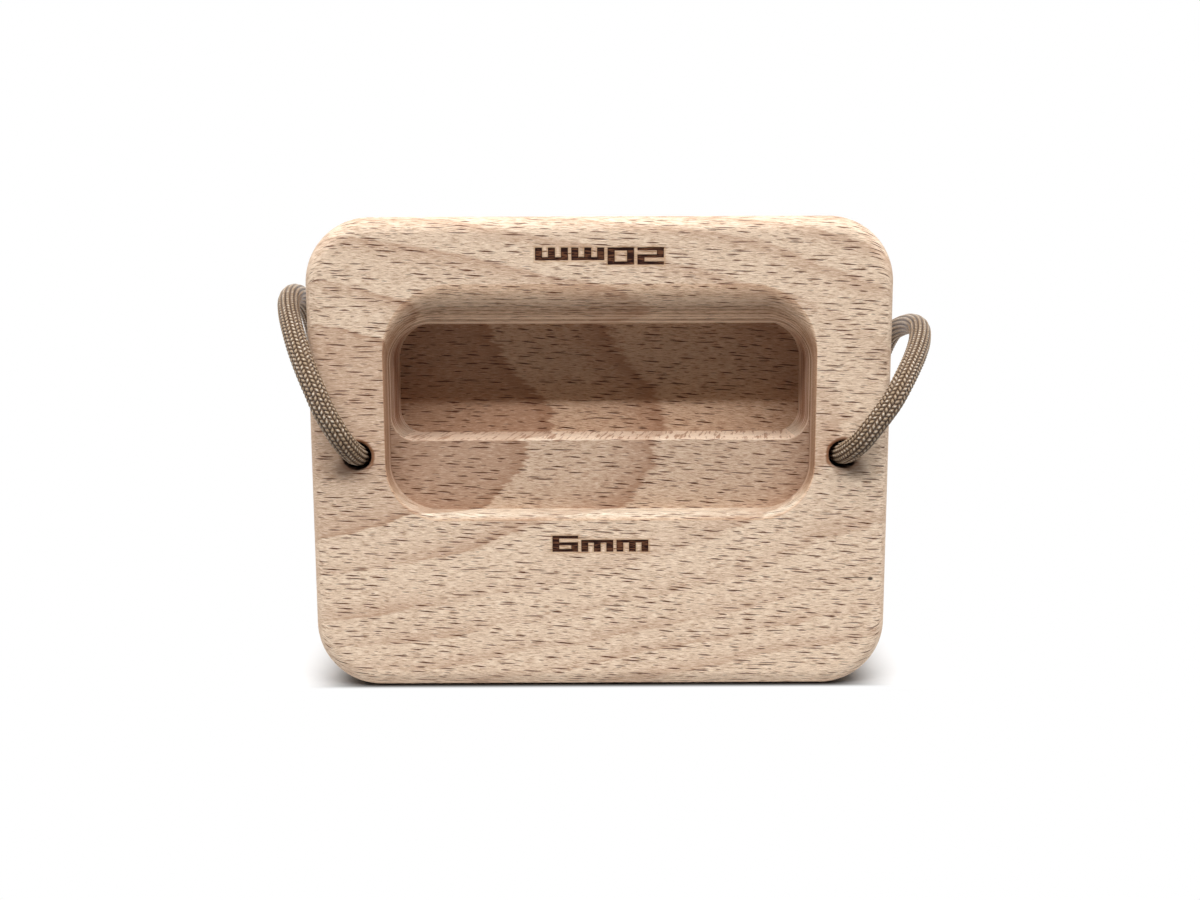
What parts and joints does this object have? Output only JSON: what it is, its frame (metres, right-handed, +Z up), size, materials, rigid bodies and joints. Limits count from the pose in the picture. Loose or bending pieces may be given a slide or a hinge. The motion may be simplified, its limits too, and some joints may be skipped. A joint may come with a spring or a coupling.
{
  "type": "portable hangboard",
  "caption": "Wooden finger-training block with a stepped finger pocket, a deep edge above and a shallow edge below, hung on a cord that passes through a hole at each side.",
  "frame": {"origin": "middle of the face that the block stands on", "axes": "+X along the block, to the right as the pocket is faced; +Y from the front with the pocket to the back; +Z up"},
  "size_m": [0.1404, 0.107, 0.098],
  "materials": {
    "beech": "sanded smooth, unfinished beech with fine flecks",
    "cord_sheath": "shiny braided sheath, tan"
  },
  "bodies": {
    "root": {"block": "beech", "cord_left_stopper_knot": "cord_sheath", "cord_left_lead": "cord_sheath", "cord_coil": "cord_sheath", "cord_right_lead": "cord_sheath", "cord_right_stopper_knot": "cord_sheath"}
  },
  "joints": []
}
